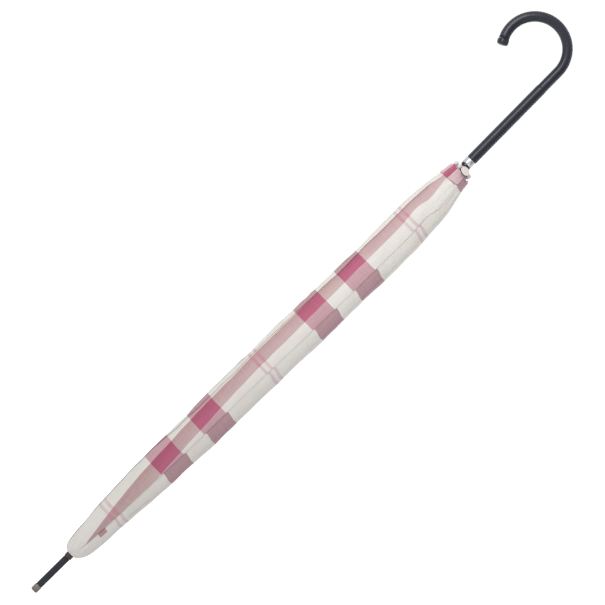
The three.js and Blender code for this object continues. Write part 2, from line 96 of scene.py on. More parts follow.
PLEAT_EDGE_DEG = [88, 130, 172, 215, 289, 326, 363, 405]
JOINT = {j["name"]: j for j in frame["record"]["behaviour"]["joints"]}


def smooth(t):
    t = np.clip(t, 0.0, 1.0)
    return t * t * (3 - 2 * t)


def hermite(x, xs, ys):
    """Smooth curve through the points, with slopes limited so that it never overshoots."""
    xs, ys = np.array(xs, float), np.array(ys, float)
    h = np.diff(xs)
    d = np.diff(ys) / h
    m = np.zeros(len(xs))
    m[0], m[-1] = d[0], d[-1]
    for i in range(1, len(xs) - 1):
        if d[i - 1] * d[i] > 0:
            a, b = 2 * h[i] + h[i - 1], h[i] + 2 * h[i - 1]
            m[i] = (a + b) / (a / d[i - 1] + b / d[i])
    x = np.clip(x, xs[0], xs[-1])
    i = np.clip(np.searchsorted(xs, x) - 1, 0, len(h) - 1)
    t = (x - xs[i]) / h[i]
    return (
        (2 * t**3 - 3 * t**2 + 1) * ys[i]
        + (t**3 - 2 * t**2 + t) * h[i] * m[i]
        + (-2 * t**3 + 3 * t**2) * ys[i + 1]
        + (t**3 - t**2) * h[i] * m[i + 1]
    )


STATIONS = [p[0] for p in PROFILE]


def centre(z):
    return hermite(z, STATIONS, [(p[2] - p[1]) / 2 for p in PROFILE])


def radius(z):
    return hermite(z, STATIONS, [(p[2] + p[1]) / 2 for p in PROFILE])


# --------------------------------------------------------------------------- node helper
class Graph:
    """Small builder for a material's node tree."""

    def __init__(self, name):
        self.mat = bpy.data.materials.new(name)
        self.mat.use_nodes = True
        self.tree = self.mat.node_tree
        self.bsdf = self.tree.nodes["Principled BSDF"]

    def node(self, kind, inputs=None, **props):
        n = self.tree.nodes.new(kind)
        for key, value in props.items():
            setattr(n, key, value)
        for key, value in (inputs or {}).items():
            self.put(n.inputs[key], value)
        return n

    def put(self, socket, value):
        if isinstance(value, bpy.types.NodeSocket):
            self.tree.links.new(value, socket)
        else:
            socket.default_value = value

    def math(self, op, a, b=0.0, c=0.0, clamp=False):
        n = self.node("ShaderNodeMath", {0: a, 1: b}, operation=op, use_clamp=clamp)
        if op in ("MULTIPLY_ADD", "COMPARE"):
            self.put(n.inputs[2], c)
        return n.outputs[0]

    def ramp(self, x, lo, hi, a=0.0, b=1.0):
        n = self.node(
            "ShaderNodeMapRange",
            {"Value": x, "From Min": lo, "From Max": hi, "To Min": a, "To Max": b},
            interpolation_type="SMOOTHSTEP",
        )
        return n.outputs[0]

    def band(self, x, lo, hi, soft=0.3):
        up = self.ramp(x, lo - soft, lo + soft)
        down = self.ramp(x, hi - soft, hi + soft, 1.0, 0.0)
        return self.math("MULTIPLY", up, down)

    def mix(self, fac, a, b, kind="MIX"):
        n = self.node("ShaderNodeMix", data_type="RGBA", blend_type=kind)
        self.put(n.inputs["Factor"], fac)
        self.put(n.inputs[6], a)
        self.put(n.inputs[7], b)
        return n.outputs[2]

    def noise(self, vector, scale, detail=3.0, rough=0.5):
        inputs = {"Vector": vector, "Scale": scale, "Detail": detail, "Roughness": rough}
        n = self.node("ShaderNodeTexNoise", inputs)
        return n.outputs[0]

    def bump(self, height, strength, distance, normal=None):
        n = self.node("ShaderNodeBump", {"Height": height, "Strength": strength, "Distance": distance})
        if normal is not None:
            self.put(n.inputs["Normal"], normal)
        return n.outputs[0]

    def place(self):
        return self.node("ShaderNodeTexCoord").outputs["Object"]

    def uv(self):
        """(U, V) in millimetres, from the piece's own UV map."""
        sep = self.node("ShaderNodeSeparateXYZ", {0: self.node("ShaderNodeUVMap", uv_map="UVMap").outputs[0]})
        return self.math("MULTIPLY", sep.outputs[0], 1000.0), self.math("MULTIPLY", sep.outputs[1], 1000.0)


def srgb(r, g, b):
    def lin(c):
        c /= 255
        return c / 12.92 if c <= 0.04045 else ((c + 0.055) / 1.055) ** 2.4

    return (lin(r), lin(g), lin(b), 1.0)


# ----------------------------------------------------------------------------- materials
CREAM = srgb(243, 239, 234)
CREAM_WARM = srgb(243, 234, 223)
ROSE = srgb(205, 170, 171)
ROSE_LEFT = srgb(199, 163, 162)
ROSE_RIGHT = srgb(216, 190, 189)
MAUVE = srgb(214, 171, 180)
# painted shade: the darker mauve on the next line stands for the crossings on pleats that lie under the main
# pleat
MAUVE_SHADED = srgb(196, 158, 165)
BERRY = srgb(182, 94, 120)
BERRY_RIGHT = srgb(199, 108, 139)
PALE = srgb(229, 205, 209)
PALE_CROSS = srgb(210, 148, 164)
STRAP_PINK = srgb(228, 195, 202)
# The check repeats along the cloth: two wide cross bands, then a fine pair half way.
WIDE_BANDS = [(202, 237), (270, 305), (443, 478), (508, 543), (677, 720)]
FINE_PAIRS = [(124.5, 128.0), (132.5, 136.0), (369, 372.5), (377, 380.5), (604, 607.5), (612, 615.5)]
LONG_BAND = 18.3


def add(g, items):
    total = items[0]
    for item in items[1:]:
        total = g.math("ADD", total, item)
    return total


def cloth_material(name, repeat=0.0, cross=MAUVE, patch=False):
    g = Graph(name)
    u, v = g.uv()
    place = g.place()
    if repeat:
        u = g.math("MODULO", g.math("ADD", u, repeat), repeat)
    # the printed edges wander a little, as cloth is never laid quite straight
    wander = g.math("MULTIPLY_ADD", g.noise(place, 45.0, 2.0), 1.6, -0.8)
    u = g.math("ADD", u, wander)
    v = g.math("ADD", v, wander)
    along = g.band(u, 0.0, LONG_BAND)
    wide = add(g, [g.band(v, lo, hi) for lo, hi in WIDE_BANDS])
    fine = add(g, [g.band(v, lo, hi, 0.5) for lo, hi in FINE_PAIRS])
    drift = g.ramp(g.noise(place, 14.0, 3.0), 0.35, 0.65)
    base = g.mix(g.math("MULTIPLY", drift, 0.35), CREAM, CREAM_WARM)
    rose = g.mix(g.ramp(u, 0.0, LONG_BAND), ROSE_RIGHT, ROSE_LEFT)
    colour = g.mix(along, base, g.mix(g.math("MULTIPLY", drift, 0.4), rose, ROSE))
    colour = g.mix(g.math("MULTIPLY", fine, 0.85), colour, g.mix(along, PALE, PALE_CROSS))
    berry = g.mix(g.ramp(u, 0.0, LONG_BAND), BERRY_RIGHT, BERRY)
    colour = g.mix(wide, colour, g.mix(along, cross, berry))
    if patch:  # a small square of the crossing that peeps out of the fold near the crown, coloured with the darker mauve of painted shade
        square = g.math("MULTIPLY", g.band(u, -13.6, -6.2), g.band(v, 99, 110))
        colour = g.mix(square, colour, MAUVE_SHADED)
    # plain weave: warp and weft threads about 0.6 mm apart, the coloured yarn uneven
    warp = g.math("SINE", g.math("MULTIPLY", u, 2 * math.pi / 0.62))
    weft = g.math("SINE", g.math("MULTIPLY", v, 2 * math.pi / 0.58))
    weave = g.math("MULTIPLY", warp, weft)
    stretched = g.node(
        "ShaderNodeCombineXYZ",
        {0: g.math("MULTIPLY", u, 0.9), 1: g.math("MULTIPLY", v, 0.035), 2: 0.0},
    ).outputs[0]
    slub_a = g.noise(stretched, 1.0, 2.0)
    crossed = g.node(
        "ShaderNodeCombineXYZ",
        {0: g.math("MULTIPLY", u, 0.035), 1: g.math("MULTIPLY", v, 0.9), 2: 3.0},
    ).outputs[0]
    slub_b = g.noise(crossed, 1.0, 2.0)
    slub = g.math("ADD", slub_a, slub_b)
    inked = g.math("MAXIMUM", along, g.math("MAXIMUM", wide, fine))
    depth = g.math("MULTIPLY_ADD", inked, 0.22, 0.06)
    shade = g.math("MULTIPLY_ADD", g.math("SUBTRACT", slub, 1.0), depth, 1.0)
    shade = g.math("MULTIPLY_ADD", g.math("MULTIPLY", weave, depth), 0.28, shade)
    # painted shade: the cloth is darkened towards the crown, the end that lies further from the light
    shade = g.math("MULTIPLY", shade, g.ramp(v, 150, 540, 0.865, 1.0))
    grey = g.node("ShaderNodeCombineColor", {0: shade, 1: shade, 2: shade}).outputs[0]
    colour = g.mix(1.0, colour, grey, "MULTIPLY")
    # a line of stitches along the hem
    hem = g.band(v, 685.2, 685.9, 0.15)
    dash = g.ramp(g.math("SINE", g.math("MULTIPLY", u, 2 * math.pi / 2.6)), -0.3, 0.1)
    stitch = g.math("MULTIPLY", hem, dash)
    colour = g.mix(g.math("MULTIPLY", stitch, 0.35), colour, srgb(150, 118, 124))
    g.put(g.bsdf.inputs["Base Color"], colour)
    g.put(g.bsdf.inputs["Roughness"], g.math("MULTIPLY_ADD", slub_a, 0.16, 0.62))
    g.bsdf.inputs["Sheen Weight"].default_value = 0.18
    g.bsdf.inputs["Sheen Roughness"].default_value = 0.45
    g.bsdf.inputs["Specular IOR Level"].default_value = 0.28
    relief = g.math("MULTIPLY_ADD", slub, 0.5, g.math("MULTIPLY", weave, 0.5))
    relief = g.math("SUBTRACT", relief, g.math("MULTIPLY", stitch, 1.2))
    fine_normal = g.bump(relief, 0.32, 0.00022)
    crease = g.noise(place, 70.0, 4.0, 0.55)
    g.put(g.bsdf.inputs["Normal"], g.bump(crease, 0.22, 0.0012, fine_normal))
    return g.mat


def leather_material():
    g = Graph("handle_leather_look")
    u, v = g.uv()
    place = g.place()
    cells = g.node(
        "ShaderNodeTexVoronoi",
        {"Vector": place, "Scale": 2100.0, "Randomness": 1.0},
        feature="DISTANCE_TO_EDGE",
    )
    pebble = g.ramp(cells.outputs["Distance"], 0.0, 0.22)
    fine = g.noise(place, 2600.0, 3.0)
    worn = g.ramp(g.noise(place, 60.0, 4.0), 0.42, 0.68)
    colour = g.mix(pebble, srgb(19, 23, 37), srgb(27, 32, 50))
    colour = g.mix(g.math("MULTIPLY", worn, 0.4), colour, srgb(36, 41, 60))
    # the edge seam: a shallow groove with stitches laid across it every 3.4 mm
    groove = g.band(u, -0.35, 0.35, 0.25)
    dash = g.ramp(g.math("SINE", g.math("MULTIPLY", v, 2 * math.pi / 3.4)), -0.1, 0.25)
    stitch = g.math("MULTIPLY", g.band(u, -1.15, 1.15, 0.2), dash)
    colour = g.mix(g.math("MULTIPLY", groove, 0.8), colour, srgb(22, 22, 27))
    colour = g.mix(g.math("MULTIPLY", stitch, 0.6), colour, srgb(80, 80, 92))
    g.put(g.bsdf.inputs["Base Color"], colour)
    g.put(g.bsdf.inputs["Roughness"], g.math("MULTIPLY_ADD", worn, -0.06, 0.4))
    g.bsdf.inputs["Coat Weight"].default_value = 0.75
    g.bsdf.inputs["Coat Roughness"].default_value = 0.26
    g.bsdf.inputs["Specular IOR Level"].default_value = 0.25
    relief = g.math("MULTIPLY_ADD", fine, 0.25, pebble)
    relief = g.math("ADD", relief, g.math("MULTIPLY", stitch, 1.6))
    relief = g.math("SUBTRACT", relief, g.math("MULTIPLY", groove, 1.5))
    g.put(g.bsdf.inputs["Normal"], g.bump(relief, 0.16, 0.0001))
    return g.mat


def metal_material(name, base, scuff, rough, metallic=1.0, brush=(900.0, 900.0, 12.0)):
    """Turned or drawn metal: fine brushed lines, faint tarnish and small scuffs."""
    g = Graph(name)
    place = g.place()
    lines = g.noise(g.node("ShaderNodeMapping", {"Vector": place, "Scale": brush}).outputs[0], 1.0, 3.0)
    cloudy = g.ramp(g.noise(place, 90.0, 4.0), 0.35, 0.7)
    colour = g.mix(g.math("MULTIPLY", cloudy, 0.5), base, scuff)
    g.put(g.bsdf.inputs["Base Color"], colour)
    g.bsdf.inputs["Metallic"].default_value = metallic
    g.put(g.bsdf.inputs["Roughness"], g.math("MULTIPLY_ADD", lines, 0.16, rough))
    g.put(g.bsdf.inputs["Normal"], g.bump(lines, 0.12, 0.00008))
    return g.mat


def plastic_material(name, base, tint, rough, coat=0.0):
    g = Graph(name)
    place = g.place()
    cloudy = g.noise(place, 160.0, 4.0)
    fine = g.noise(place, 1500.0, 2.0)
    g.put(g.bsdf.inputs["Base Color"], g.mix(g.ramp(cloudy, 0.3, 0.7), base, tint))
    g.put(g.bsdf.inputs["Roughness"], g.math("MULTIPLY_ADD", cloudy, 0.12, rough))
    g.bsdf.inputs["Coat Weight"].default_value = coat
    g.bsdf.inputs["Coat Roughness"].default_value = 0.08
    g.put(g.bsdf.inputs["Normal"], g.bump(fine, 0.08, 0.00005))
    return g.mat


def wood_material():
    g = Graph("handle_wood_look")
    place = g.place()
    grain = g.node("ShaderNodeMapping", {"Vector": place, "Scale": (400.0, 400.0, 18.0)}).outputs[0]
    rings = g.noise(grain, 1.0, 4.0)
    g.put(g.bsdf.inputs["Base Color"], g.mix(rings, srgb(150, 112, 74), srgb(196, 160, 116)))
    g.put(g.bsdf.inputs["Roughness"], g.math("MULTIPLY_ADD", rings, 0.2, 0.5))
    g.put(g.bsdf.inputs["Normal"], g.bump(rings, 0.25, 0.0002))
    return g.mat


LOOK = {
    "canopy_cloth": cloth_material("canopy_cloth_look"),
    # painted shade: the looks for the pleats under the main pleat use the darker mauve
    "canopy_under": cloth_material("canopy_cloth_shaded_look", cross=MAUVE_SHADED),
    "canopy_fold": cloth_material("canopy_cloth_fold_shaded_look", cross=MAUVE_SHADED, patch=True),
    "canopy_open": cloth_material("canopy_cloth_spread_look", repeat=104.0),
    "strap_cloth": cloth_material("strap_cloth_look", cross=STRAP_PINK),
    "handle_leather": leather_material(),
    "handle_wood": wood_material(),
    "ferrule_pewter": metal_material("ferrule_pewter_look", srgb(150, 144, 137), srgb(112, 106, 101), 0.34),
    "dark_metal": metal_material("dark_metal_look", srgb(52, 53, 63), srgb(38, 37, 44), 0.36, 0.45),
    "neck_metal": metal_material("neck_metal_look", srgb(96, 90, 84), srgb(70, 65, 61), 0.34),
    "frame_steel": metal_material("frame_steel_look", srgb(178, 180, 184), srgb(150, 152, 158), 0.3),
    "collar_chrome": metal_material("collar_chrome_look", srgb(236, 236, 240), srgb(214, 215, 222), 0.06),
    "black_plastic": plastic_material("black_plastic_look", srgb(24, 24, 29), srgb(34, 34, 40), 0.16, 0.5),
    "snap_cap": plastic_material("snap_cap_look", srgb(240, 236, 230), srgb(243, 229, 220), 0.14, 0.6),
    "rib_tips": plastic_material("rib_tips_look", srgb(238, 233, 230), srgb(236, 222, 222), 0.32, 0.1),
}
for node, obj in frame["nodes"].items():
    slot = next(s["material_slot"] for s in frame["record"]["subparts"] if s["node"] == node)
    if len(obj.material_slots) == 0:
        obj.data.materials.append(LOOK[slot])
    for s in obj.material_slots:
        s.link = "OBJECT"
        s.material = LOOK[slot]


# ------------------------------------------------------------------------- mesh builders
def make_mesh(name, verts_mm, faces, uvs_mm, look, flat_angle=None):
    mesh = bpy.data.meshes.new(name)
    mesh.from_pydata((np.asarray(verts_mm) * MM).tolist(), [], [list(map(int, f)) for f in faces])
    loops = np.empty(len(mesh.loops), dtype=np.int64)
    mesh.loops.foreach_get("vertex_index", loops)
    layer = mesh.uv_layers.new(name="UVMap")
    layer.data.foreach_set("uv", (np.asarray(uvs_mm)[loops] * MM).astype(np.float32).ravel())
    mesh.polygons.foreach_set("use_smooth", [True] * len(mesh.polygons))
    mesh.validate()
    mesh.update()
    obj = bpy.data.objects.new(name, mesh)
    bpy.context.scene.collection.objects.link(obj)
    mesh.materials.append(LOOK[look])
    if flat_angle:
        mesh.set_sharp_from_angle(angle=math.radians(flat_angle))
    return obj


def grid_normals(p):
    du = np.gradient(p, axis=1)
    dv = np.gradient(p, axis=0)
    n = np.cross(du, dv)
    return n / np.maximum(np.linalg.norm(n, axis=2, keepdims=True), 1e-9)


def thick_sheet(name, outer, inner, uv, look):
    """Closed sheet from two matching grids of points, outer side first."""
    rows, cols = outer.shape[:2]
    count = rows * cols
    idx = np.arange(count).reshape(rows, cols)
    a, b, c, d = idx[:-1, :-1], idx[:-1, 1:], idx[1:, 1:], idx[1:, :-1]
    top = np.stack([a, b, c, d], axis=-1).reshape(-1, 4)
    bottom = top[:, ::-1] + count
    ring = np.concatenate([idx[0, :], idx[1:, -1], idx[-1, -2::-1], idx[-2:0:-1, 0]])
    nxt = np.roll(ring, -1)
    rim = np.stack([nxt, ring, ring + count, nxt + count], axis=-1)
    verts = np.concatenate([outer.reshape(-1, 3), inner.reshape(-1, 3)])
    uvs = np.concatenate([uv.reshape(-1, 2), uv.reshape(-1, 2)])
    return make_mesh(name, verts, np.concatenate([top, bottom, rim]), uvs, look, 60)


def lathe(name, profile, look, segments=64, matrix=None, closed=False):
    """Turned piece about +Z from (radius, z) points; a closed profile makes a ring."""
    pts = np.array(profile, float)
    angle = np.arange(segments) * 2 * math.pi / segments
    verts, index = [], []
    for r, z in pts:
        if r < 1e-6:
            index.append([len(verts)] * segments)
            verts.append((0, 0, z))
        else:
            index.append(list(range(len(verts), len(verts) + segments)))
            verts += [(r * math.cos(t), r * math.sin(t), z) for t in angle]
    faces = []
    spans = list(zip(index, index[1:] + index[:1])) if closed else list(zip(index, index[1:]))
    for low, high in spans:
        for i in range(segments):
            j = (i + 1) % segments
            face = [low[i], low[j], high[j], high[i]]
            unique = list(dict.fromkeys(face))
            if len(unique) > 2:
                faces.append(unique)
    verts = np.array(verts)
    uvs = np.stack([np.arctan2(verts[:, 1], verts[:, 0]) * 5, verts[:, 2]], axis=1)
    if matrix is not None:
        verts = (np.array(matrix)[:3, :3] @ verts.T).T + np.array(matrix)[:3, 3]
    return make_mesh(name, verts, faces, uvs, look, 35)


def install(obj, body, slot, *nodes):
    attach(obj, body)
    if nodes:
        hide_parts(*nodes)
    return obj


def rounded(points, r=0.35, steps=3):
    """The same outline with each inner corner rounded."""
    pts = [np.array(p, float) for p in points]
    out = [pts[0]]
    for a, b, c in zip(pts, pts[1:], pts[2:]):
        la, lc = np.linalg.norm(a - b), np.linalg.norm(c - b)
        k = min(r, la * 0.45, lc * 0.45)
        p, q = b + (a - b) / la * k, b + (c - b) / lc * k
        for t in np.linspace(0, 1, steps + 1):
            out.append((1 - t) ** 2 * p + 2 * t * (1 - t) * b + t * t * q)
    out.append(pts[-1])
    return out


# ------------------------------------------------------------------------ furled canopy
def low_edge(z):
    """How far the long band sits from the pleat's free edge, in millimetres of cloth."""
    return BAND_INSET * (1 - np.exp(-(z - 195) / 150))


def pleat_edge(k, z):
    """Azimuth of pleat k's free edge at height z, in degrees."""
    base = PLEAT_EDGE_DEG[k - 1]
    if k == 5:
        sway = 0.9 * np.sin(z / 61) + 0.5 * np.sin(z / 23 + 1)
        shift = 9.0 * smooth((z - 626) / 22)
        return 288.0 - 10 * np.exp(-(z - 62) / 70) + sway * smooth((z - 90) / 60) + shift
    if k == 4:
        base = base - 36 * (1 - smooth((z - 170) / 130))
    return base + 1.6 * np.sin(z / 97 + 1.7 * k) + 0.7 * np.sin(z / 31 + k)


def relief(z, a):
    """Soft waves, wrinkles and gathers that every layer of cloth shares."""
    waves = [(0.34, 141, 2, 0.4), (0.30, 92, 3, 1.9), (0.20, 57, 5, 4.1), (0.13, 33, 7, 0.8)]
    d = sum(h * np.sin(2 * math.pi * z / p + n * a + f) for h, p, n, f in waves)
    middle = np.exp(-(((z - 466) / 52) ** 2))
    d = d + 0.30 * middle * np.sin((z + 14 * a) / 2.9) * (0.6 + 0.4 * np.sin(3 * a + z / 19))
    low = np.exp(-(((z - 330) / 70) ** 2))
    d = d + 0.17 * low * np.sin((z - 20 * a) / 4.3)
    gather = smooth((z - 628) / 46)
    held = 1 - 0.6 * np.exp(-(((z - 684) / 6.5) ** 2))
    gathers = 0.55 * np.sin(7 * a + 0.9 + z / 70) + 0.38 * np.sin(12 * a + 2.1) + 0.2 * np.sin(19 * a)
    d = d + gather * held * gathers
    crown = 1 - smooth((z - 66) / 34)
    d = d + crown * (0.42 * np.sin(11 * a + 1) + 0.3 * np.sin(18 * a + z / 9))
    return d


def rib_azimuth(k):
    return math.radians(45 * k - 22.5)


def pleat_grid(k):
    """Outer side of one furled pleat: tucked start, visible layer, fold, short return."""
    rows = np.concatenate(
        [np.linspace(CROWN_Z, 96, 16), np.linspace(99, 630, 168), np.linspace(632.5, HEM_Z, 30)]
    )
    n_tuck, n_face, n_fold, n_back = 6, 30, 8, 7
    z = rows[:, None]
    edge = pleat_edge(k, z)
    before = pleat_edge(k - 1, z) if k > 1 else pleat_edge(8, z) - 360
    layer = (1 - 0.42 * smooth((z - 640) / 42)) * (0.5 + 0.5 * smooth((z - 64) / 16))
    pressed = smooth((z - 298) / 34) * (1 - smooth((z - 548) / 34))
    fold = (0.27 if k == 4 else 0.42) * layer
    recess = {5: 1.0, 6: 1.4 - 0.4 * pressed}.get(k, 1.4)
    if k == 5:
        fold = fold - 0.14 * pressed * layer
        lifted = np.exp(-(((z - 645) / 8) ** 2)) + 0.45 * np.exp(-(((z - 585) / 14) ** 2))
        fold = fold + 0.35 * lifted
    parts = []
    u = np.linspace(0, 1, n_tuck, endpoint=False)[None, :]
    parts.append((before - TUCK_DEG * (1 - u), layer * (0.7 * u - 0.7 - recess), None))
    u = np.linspace(0, 1, n_face)[None, :]
    parts.append((before + (edge - before) * u, layer * (-recess * (1 - u) ** 1.6), None))
    turn = np.linspace(math.pi / 2, -math.pi / 2, n_fold + 2)[None, 1:]
    parts.append((edge + 0 * turn, -fold + fold * np.sin(turn), fold * np.cos(turn)))
    u = np.linspace(0, 1, n_back + 1)[None, 1:]
    parts.append((edge + 0 * u, -2 * fold - 0.15 * u * layer, -11.5 * u))
    big_r, c = radius(z), centre(z)
    az, off, arc = [], [], []
    for angle, offset, step in parts:
        step = 0 * angle if step is None else step + 0 * angle
        az.append(np.radians(angle) + step / big_r)
        off.append(offset + 0 * angle)
        arc.append((np.radians(edge) - np.radians(angle)) * big_r - step)
    az, off, arc = (np.concatenate(x, axis=1) for x in (az, off, arc))
    if k == 6:
        off = off - 0.5 * np.exp(-(((z - 645) / 9) ** 2)) * np.exp(-(((np.degrees(az) - 301) / 5) ** 2))
    shrink = 0.3 * np.maximum(0, big_r * np.sin(az - rib_azimuth(k)))
    z_here = z - np.minimum(shrink, 5) * smooth((z - 640) / 50)
    if k in (4, 5):
        front = smooth((np.degrees(az) - 184) / 14) * (1 - smooth((np.degrees(az) - 256) / 14))
        z_here = z_here + 3.4 * front * smooth((z - 680) / 13)
    reach = big_r + off + relief(z, az) * layer
    pts = np.stack([c + reach * np.cos(az), reach * np.sin(az), z_here + 0 * az], axis=-1)
    bend = 0.0
    if k == 6:
        bend = 2.5 * smooth((arc - 0) / 15)
    inset = low_edge(z) if k == 5 else 20.0 + 0 * z
    uv = np.stack([np.abs(arc) - inset, z_here - bend], axis=-1)
    return pts, uv, az, edge


# painted shade: every pleat but the main one, 5, gets a look with the darker mauve crossing
PLEAT_LOOK = {5: "canopy_cloth", 6: "canopy_fold"}


def joint_axis(k):
    j = JOINT[f"gore_spread_{k}"]
    return np.array(j["axis"], float), np.array(j["pos_m"], float) * 1000


def flatten_with_rib(obj):
    """Gives obj its own copy of its mesh."""
    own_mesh(obj)


for k in range(1, RIBS + 1):
    pts, uv, az, edge = pleat_grid(k)
    normal = grid_normals(pts)
    mid = pts[pts.shape[0] // 2, 10]
    if np.dot(normal[pts.shape[0] // 2, 10][:2], mid[:2]) < 0:
        pts, uv, normal = pts[:, ::-1], uv[:, ::-1], -normal[:, ::-1]
    hem = 1 + 0.9 * smooth((uv[:, :, 1:] - 683) / 1.5)
    look = PLEAT_LOOK.get(k, "canopy_under")
    pleat = thick_sheet(f"canopy_pleat_{k}", pts, pts - normal * CLOTH * hem, uv, look)
    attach(pleat, f"rib_{k}")
    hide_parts(f"canopy_gore_{k}")
    flatten_with_rib(pleat)

# ------------------------------------------------------- the same cloth, as a narrow fan along each rib
GORE_GAMMA = math.radians(42.686396)
RIDGE = math.radians(14.6)
FAN_W = 10.0
HEM_REACH = 690.0 - SPREAD_Z + 2.0


def rib_line(z):
    """Distance of a rib's centre line from the shaft's axis at height z."""
    neck = PIVOT_R + (11 - PIVOT_R) * smooth((z - 78) / 17)
    along = np.clip((z - 95) / 595, 0, 1)
    bowed = 11 + (RIB_END_R - 11) * along + 4.8 * np.sin(math.pi * along)
    return np.where(z < 95, neck, bowed)


def fan_grid(k):
    n_axis, pivot = joint_axis(k)
    e = np.array([math.cos(rib_azimuth(k)), math.sin(rib_azimuth(k)), 0])
    outward = n_axis * np.sign(np.dot(n_axis, e))
    tangent = np.cross(n_axis, [0, 0, 1])
    f = np.linspace(0, 1, 29)
    ease = 0.5 - np.sin(np.arcsin(1 - 2 * f) / 3)
    side = (ease - 0.5) * FAN_W
    rise = np.linspace(0, 1, 74)[:, None]
    half = GORE_GAMMA / 2
    longest = HEM_REACH * math.cos(half) / np.cos((f - 0.5) * GORE_GAMMA)
    y = 3.4 + rise * (longest[None, :] - 3.4)
    side, f = side[None, :] + 0 * y, f[None, :] + 0 * y
    z = SPREAD_Z + y
    over = 2.0 - 0.85 * smooth((y - 560) / 50)
    height = (rib_line(z) - PIVOT_R) * np.dot(outward, e) + over
    # past each rib the cloth turns down along its neighbour's side of the ridge
    turn = f * GORE_GAMMA
    first = side * np.cos(turn) + y * np.sin(turn)
    back = GORE_GAMMA - turn
    last = -side * np.cos(back) + y * np.sin(back)
    for past in (first, last):
        d = np.maximum(0, -past)
        height = height - d * math.tan(RIDGE) - 0.25 * smooth(d)
    height = height + (0.15 if k % 2 else 0.0)
    pts = pivot + y[..., None] * np.array([0, 0, 1]) + side[..., None] * tangent + height[..., None] * outward
    x_cut = y * np.sin(turn - half) + side * np.cos(turn)
    y_cut = y * np.cos(turn - half)
    uv = np.stack([np.abs(x_cut) - BAND_INSET, SPREAD_Z + y_cut / math.cos(half)], axis=-1)
    return pts, uv, outward, tangent, pivot


for k in range(1, RIBS + 1):
    pts, uv, outward, tangent, pivot = fan_grid(k)
    normal = grid_normals(pts)
    if np.dot(normal[30, 14], outward) < 0:
        pts, uv = pts[:, ::-1], uv[:, ::-1]
    fan = thick_sheet(f"canopy_spread_{k}", pts, pts - outward * 0.35, uv, "canopy_open")
    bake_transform(fan)

# ----------------------------------------------------------------------- crown rosette
def rosette():
    """Small gathered ring of cloth on top of the canopy."""
    cols = 144
    a = np.arange(cols) * 2 * math.pi / cols
    rings = [(5.1, 61.0, 0.0), (5.9, 60.75, 0.2), (7.2, 61.2, 0.5), (8.6, 62.3, 0.8), (9.6, 63.9, 1.0)]
    back = [(9.3, 64.4, 1.0), (8.1, 63.0, 0.8), (6.9, 62.0, 0.5), (5.7, 61.6, 0.2), (5.1, 61.6, 0.0)]
    verts, uvs = [], []
    for r, z, ruffle in rings + back:
        wave = ruffle * (0.7 * np.sin(13 * a) + 0.4 * np.sin(21 * a + 1))
        reach = r + 0.5 * wave
        verts.append(np.stack([reach * np.cos(a), reach * np.sin(a), z - 0.35 * wave], axis=1))
        uvs.append(np.stack([40 + a * r, np.full(cols, 150.0 + r)], axis=1))
    n = len(verts)
    faces = []
    for i in range(n):
        for j in range(cols):
            p, q = i, (i + 1) % n
            m = (j + 1) % cols
            faces.append([p * cols + j, p * cols + m, q * cols + m, q * cols + j])
    obj = make_mesh("crown_ruffle", np.concatenate(verts), faces, np.concatenate(uvs), "canopy_cloth")
    return install(obj, "umbrella", "canopy_cloth", "crown_rosette")


rosette()

# ------------------------------------------------------------------- strap and press stud
STRAP_MID_Z = 685.5
STRAP_START, STRAP_END = math.radians(158), math.radians(292)


def closure_strap():
    cols, rows = 96, 17
    t = np.linspace(0, 1, cols)[None, :]
    w = np.linspace(-1, 1, rows)[:, None]
    a = STRAP_START + (STRAP_END - STRAP_START) * t
    last = np.maximum(0, (t - 0.9) / 0.1)
    half = 8.0 * np.sqrt(np.clip(1 - last**2 * 0.4, 0.05, 1))
    z = STRAP_MID_Z + 1.5 * smooth((t - 0.62) / 0.3) + w * half
    c, r = centre(z), radius(z)
    crowned = 0.22 * (1 - w**4)
    reach = r + 0.6 + crowned + 0.35 * relief(z, a)
    outer = np.stack([c + reach * np.cos(a), reach * np.sin(a), z + 0 * a], axis=-1)
    reach = reach - 0.62 - crowned
    inner = np.stack([c + reach * np.cos(a), reach * np.sin(a), z + 0 * a], axis=-1)
    # berry where the strap crosses the long band, pale rose over the rest
    u = (np.degrees(a) - 212.3) * LONG_BAND / 32.2
    uv = np.stack([u + 0 * z, 700.0 + w * 6 + 0 * a], axis=-1)
    obj = thick_sheet("strap", outer, inner, uv, "strap_cloth")
    return install(obj, "strap", "strap_cloth", "closure_strap")


closure_strap()

SNAP_AZ, SNAP_TILT = math.radians(281.5), math.radians(44)


def on_snap_axis():
    low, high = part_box("snap_cap")
    flat = math.cos(SNAP_TILT)
    out = Vector((math.cos(SNAP_AZ) * flat, math.sin(SNAP_AZ) * flat, math.sin(SNAP_TILT)))
    turn = out.to_track_quat("Z", "Y").to_matrix().to_4x4()
    middle = (Vector(low) + Vector(high)) / 2 * 1000
    return Matrix.Translation(middle) @ turn


SNAP = on_snap_axis()
cap = lathe(
    "snap_button",
    rounded(
        [(0, -0.9), (5.5, -0.9), (6.1, -0.5), (6.1, 0.1), (5.6, 0.55), (4.2, 0.75), (2.2, 0.88), (0, 0.92)],
        0.3,
    ),
    "snap_cap",
    72,
    SNAP,
)
install(cap, "strap", "snap_cap", "snap_cap")
rim_low, rim_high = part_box("snap_rim")
rim_mid = (Vector(rim_low) + Vector(rim_high)) / 2 * 1000
RIM = Matrix.Translation(rim_mid) @ SNAP.to_3x3().to_4x4()
rim = lathe(
    "snap_ring",
    [(3.0, -0.55), (5.9, -0.55), (6.4, -0.3), (6.5, 0.1), (6.35, 0.5), (5.4, 0.55), (3.0, 0.55)],
    "dark_metal",
    72,
    RIM,
    closed=True,
)
install(rim, "strap", "dark_metal", "snap_rim")

